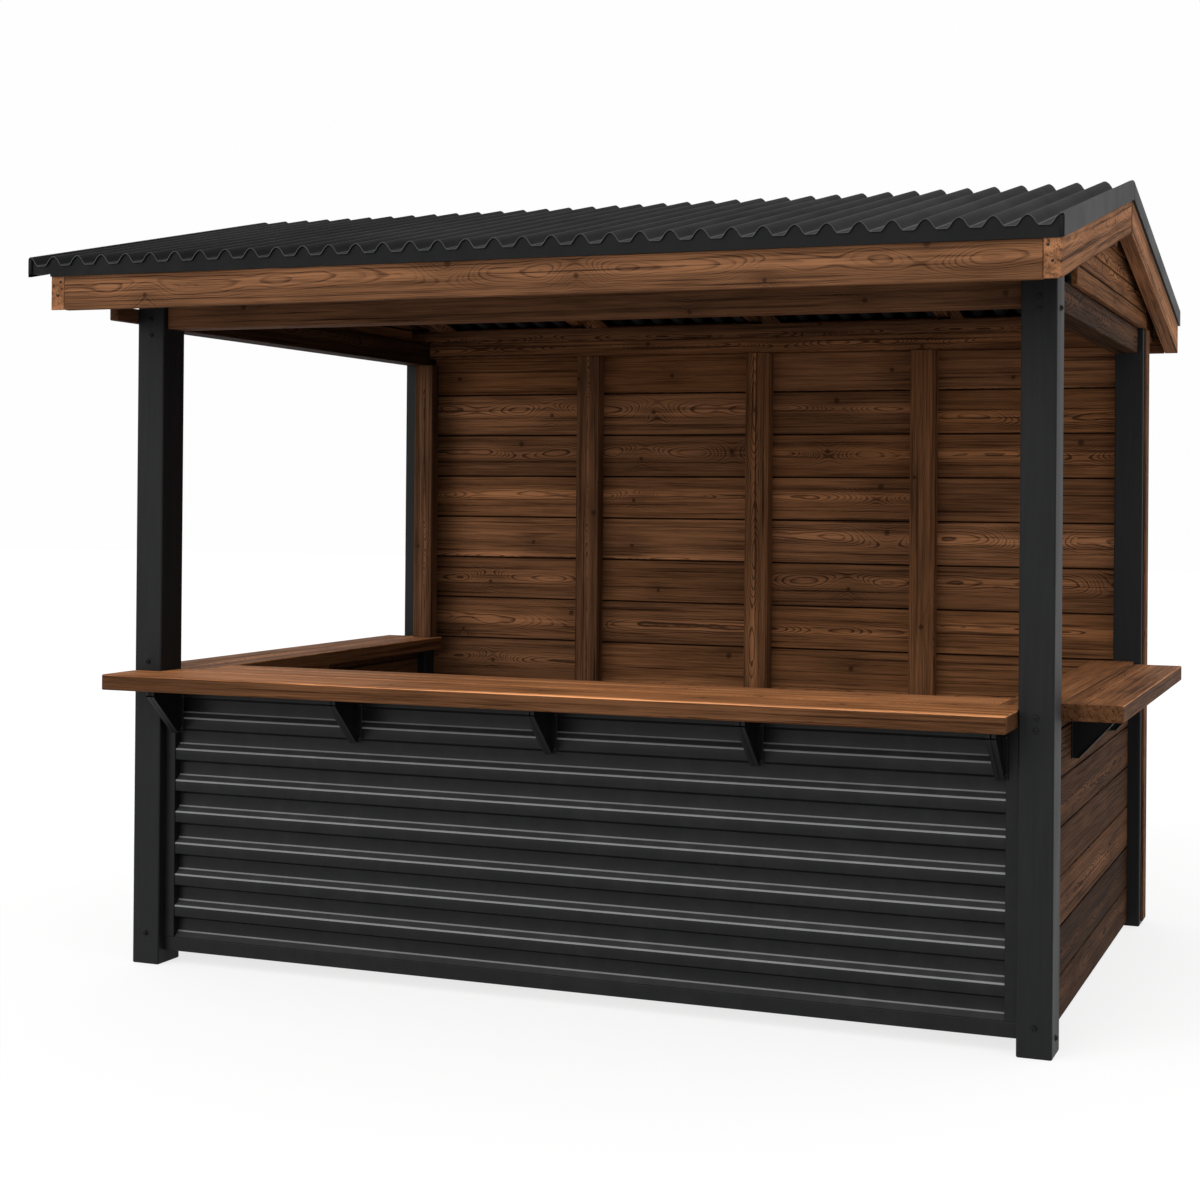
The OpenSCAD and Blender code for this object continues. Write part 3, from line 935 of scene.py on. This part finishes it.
for flat in flats:
    ease_edges(flat, strip_ease)
panel = joined("front_panel_steel", [ribs] + flats)
fitted(panel, panel_steel, "panel_steel", "front_panel")
# Paler steels on the ribs: painted highlights on the near and far folds and painted light on the up-facing
# slopes, each with a still paler second colour in its film.
rib_painted_lights = (("near_fold_highlight", (0.23, 0.23, 0.235, 1), (0.30, 0.30, 0.30, 1), -0.0005, 0.004),
         ("far_fold_highlight", (0.17, 0.17, 0.172, 1), (0.22, 0.22, 0.22, 1), 0.0205, 0.0255),
         ("rib_slope_light", (0.034, 0.034, 0.035, 1), (0.060, 0.060, 0.060, 1), 0.004, 0.0205))
for index, (name, colour, dust, near, far) in enumerate(rib_painted_lights, 1):
    panel.data.materials.append(coated_steel(name, colour, dust, 0.40))
    for face in panel.data.polygons:
        facing_up = 0.12 < face.normal.z < 0.97 and face.normal.y < 0 and face.area > 0.001
        if facing_up and near < face.center.y - rib_front < far:
            face.material_index = index

# ---------------------------------------------------------------- counters
# Thick planed planks laid edge to edge, sanded and oiled, with eased arrises. The front
# counter is notched round the posts and the side counters run between the posts.

oil_light = (0.450, 0.185, 0.070, 1)
oil_dark = (0.110, 0.040, 0.0140, 1)
oiled_wood = stained_timber("oiled_wood", oil_light, oil_dark, 0.62, 0.62)
# Each pair gives the tone of the tops and of the edges: paler tops and darker edges are painted light and
# shade, and the upper arrises take a painted highlight.
front_counter_painted_light, side_counter_painted_light = (1.25, -0.62), (0.40, -0.45)
arris_highlight_shade = 1.40
plank_variety = 0.16
plank_gap = 0.0026
plank_arris = 0.004
side_arris = plank_arris * 0.8
right_cut = 0.120
plank_joint = post_boxes["back", "right"][1].x - 0.025
low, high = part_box("front_counter")
front_post = post_boxes["front", "right"][0]
inner_x = front_post.x
post_back = post_boxes["front", "right"][1].y
side_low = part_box("right_counter")[0].x
planks = [timber((low.x, low.y, low.z), (inner_x, front_post.y - plank_gap, high.z), 0, plank_arris),
          timber((-inner_x + hair, front_post.y, low.z),
                 (inner_x - hair, post_back - plank_gap, high.z), 0, plank_arris / 2),
          timber((-side_low + hair, post_back, low.z), (side_low - hair, high.y, high.z), 0, plank_arris)]


def painted_plank_light(piece, top_shade, edge_shade):
    """Paints light on the planks: their tops paler than their edges, which get painted shade, and the upper
    outer arrises palest of all, a painted highlight."""
    corners = [vertex.co for vertex in piece.data.vertices]
    sides = [(axis, stop) for axis in (0, 1) for stop in (min(c[axis] for c in corners),
                                                         max(c[axis] for c in corners))]
    for face, shade in zip(piece.data.polygons, piece.data.attributes["tone"].data):
        outer = any(abs(face.center[axis] - stop) < plank_arris for axis, stop in sides)
        level = top_shade if face.normal.z > 0.5 else edge_shade
        # The upper outer arrises get the painted highlight.
        if outer and 0.2 < face.normal.z < 0.97:
            level = arris_highlight_shade
        shade.value = level + plank_variety * (shade.value - 0.5)
    return piece


fitted(painted_plank_light(joined("front_counter_planks", planks), *front_counter_painted_light), oiled_wood, "counter_wood",
       "front_counter")

for side in ("left", "right"):
    node = f"{side}_counter"
    low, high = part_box(node)
    outward, cut = (1, right_cut) if side == "right" else (-1, 0)
    middle = outward * plank_joint
    ends = sorted((middle, high.x if outward < 0 else low.x))
    sides = sorted((middle + outward * plank_gap, low.x if outward < 0 else high.x))
    planks = [timber((ends[0], low.y, low.z), (ends[1], high.y, high.z), 1, side_arris),
              timber((sides[0], low.y + cut, low.z), (sides[1], high.y - cut, high.z), 1, side_arris)]
    counter = painted_plank_light(joined(f"{side}_counter_planks", planks), *side_counter_painted_light)
    fitted(counter, oiled_wood, "counter_wood", node)

# ---------------------------------------------------------------- counter brackets
# Welded steel brackets, coated black: a three-cornered web with a wall plate, a top plate
# and a narrow flange along its sloping edge, screwed to the panel or the wall.

bracket_colour, bracket_dust = (0.0060, 0.0061, 0.0064, 1), (0.014, 0.014, 0.014, 1)
bracket_steel = coated_steel("bracket_steel", bracket_colour, bracket_dust, 0.4)
plate_gauge, plate_width, plate_ease = 0.004, 0.040, 0.001
flange_width, flange_depth = 0.028, 0.006
nose_depth = 0.022
screw_radius, screw_side = 0.0055, 0.012
screw_drop, screw_foot = 0.030, 0.016


def bracket(reach, height):
    """One bracket at the origin, reaching forward from a wall behind it."""
    half, wide, narrow = plate_gauge / 2, plate_width / 2, flange_width / 2
    web = drawn("web", [(-half, 0, -height), (-half, 0, 0), (-half, -reach, 0),
                        (-half, -reach, -nose_depth), (-half, -nose_depth, -height)], closed=True)
    extruded(web, (plate_gauge, 0, 0))
    wall = block((-wide, -plate_gauge, -height), (wide, 0, 0))
    top = block((-wide, -reach, -plate_gauge), (wide, -plate_gauge, 0))
    nose = block((-narrow, -reach, -nose_depth), (narrow, -reach + plate_gauge, -plate_gauge))
    slant = drawn("slant", [(-narrow, -reach, -nose_depth), (-narrow, -nose_depth, -height),
                            (-narrow, -nose_depth, -height + flange_depth),
                            (-narrow, -reach, -nose_depth + flange_depth)], closed=True)
    extruded(slant, (flange_width, 0, 0))
    for plate in (wall, top, nose, slant):
        ease_edges(plate, plate_ease, 1)
    screws = []
    for side, depth in ((-1, screw_drop), (1, screw_drop), (1, height - screw_foot)):
        bpy.ops.object.select_all(action="DESELECT")
        bpy.ops.mesh.primitive_uv_sphere_add(segments=14, ring_count=8, radius=screw_radius,
                                             location=(side * screw_side, -plate_gauge, -depth),
                                             scale=(1, 0.5, 1))
        bpy.ops.object.transform_apply(location=True, rotation=True, scale=True)
        screws.append(bpy.context.object)
    return joined("bracket", [web, wall, top, nose, slant] + screws)


low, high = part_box("front_bracket_3")
front_shape = bracket(high.y - low.y, high.z - low.z)
for number in range(1, 6):
    node = f"front_bracket_{number}"
    low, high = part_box(node)
    made = copied(front_shape, ((low.x + high.x) / 2, high.y, high.z))
    fitted(joined(f"{node}_steel", [made]), bracket_steel, "panel_steel", node)
bpy.data.objects.remove(front_shape)

for side, turn in (("left", -math.pi / 2), ("right", math.pi / 2)):
    low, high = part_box(f"{side}_bracket_1")
    side_shape = turned(bracket(high.x - low.x, high.z - low.z), turn)
    for number in (1, 2):
        node = f"{side}_bracket_{number}"
        low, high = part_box(node)
        wall = low.x if side == "right" else high.x
        made = copied(side_shape, (wall, (low.y + high.y) / 2, high.z))
        fitted(joined(f"{node}_steel", [made]), bracket_steel, "panel_steel", node)
    bpy.data.objects.remove(side_shape)

# ---------------------------------------------------------------- floor, light and camera
# A plain white floor that keeps a faint shadow, and soft studio light from all round with
# a little more from the front left. The camera stands before the stall's right-hand end.

floor_size = 80
floor_tint = (0.80, 0.80, 0.80, 1)
floor_bounce = (0.55, 0.55, 0.55, 1)
floor_glow, glow_share = 1.22, 0.62
backdrop_white = (0.99, 0.99, 0.99, 1)
fill_strength = 0.80
key_strength, key_softness = 1.20, 60
key_turn = (64, 0, -22)
bpy.ops.object.select_all(action="DESELECT")
bpy.ops.mesh.primitive_plane_add(size=floor_size, location=(0, 0, 0))
floor = bpy.context.object
floor.name = "floor"
floor_finish = bpy.data.materials.new("floor")
floor_finish.use_nodes = True
tree = floor_finish.node_tree
tree.nodes.clear()
matt = add(tree, "BsdfDiffuse", {"Color": floor_tint})
bounce = add(tree, "BsdfDiffuse", {"Color": floor_bounce})
white = add(tree, "Emission", {"Color": (1, 1, 1, 1), "Strength": floor_glow})
seen = add(tree, "MixShader", {0: glow_share, 1: matt.outputs[0], 2: white.outputs[0]})


def seen_or_mirrored(tree):
    """One for a camera, glossy or transmission ray and nought for any other."""
    ray = add(tree, "LightPath")
    mirrored = sum_of(tree, "MAXIMUM", ray.outputs["Is Glossy Ray"], ray.outputs["Is Transmission Ray"])
    return sum_of(tree, "MAXIMUM", ray.outputs["Is Camera Ray"], mirrored)


surface = add(tree, "MixShader", {0: seen_or_mirrored(tree), 1: bounce.outputs[0], 2: seen.outputs[0]})
add(tree, "OutputMaterial", {"Surface": surface.outputs[0]})
floor.data.materials.append(floor_finish)

world = bpy.data.worlds.new("studio")
bpy.context.scene.world = world
world.use_nodes = True
tree = world.node_tree
tree.nodes.clear()
fill = add(tree, "Background", {"Color": (1, 1, 1, 1), "Strength": fill_strength})
backdrop = add(tree, "Background", {"Color": backdrop_white, "Strength": 1.0})
surface = add(tree, "MixShader", {0: seen_or_mirrored(tree), 1: fill.outputs[0], 2: backdrop.outputs[0]})
add(tree, "OutputWorld", {"Surface": surface.outputs[0]})

key = bpy.data.lights.new("soft_key", "SUN")
key.energy = key_strength
key.angle = math.radians(key_softness)
key_holder = bpy.data.objects.new("soft_key", key)
bpy.context.collection.objects.link(key_holder)
key_holder.rotation_euler = [math.radians(angle) for angle in key_turn]

camera = bpy.data.objects.new("camera", bpy.data.cameras.new("camera"))
bpy.context.collection.objects.link(camera)
turn, tilt, roll = 21.087, 0.217, 0.466
camera.data.lens = 59.961
camera.data.shift_x, camera.data.shift_y = -0.0345833, -0.0901667
camera.location = (2.413, -6.534, 1.534)
camera.rotation_euler = (Matrix.Rotation(math.radians(turn), 3, "Z")
                         @ Matrix.Rotation(math.radians(90 + tilt), 3, "X")
                         @ Matrix.Rotation(math.radians(roll), 3, "Z")).to_euler()
bpy.context.scene.camera = camera
bpy.context.scene.view_settings.view_transform = "Standard"
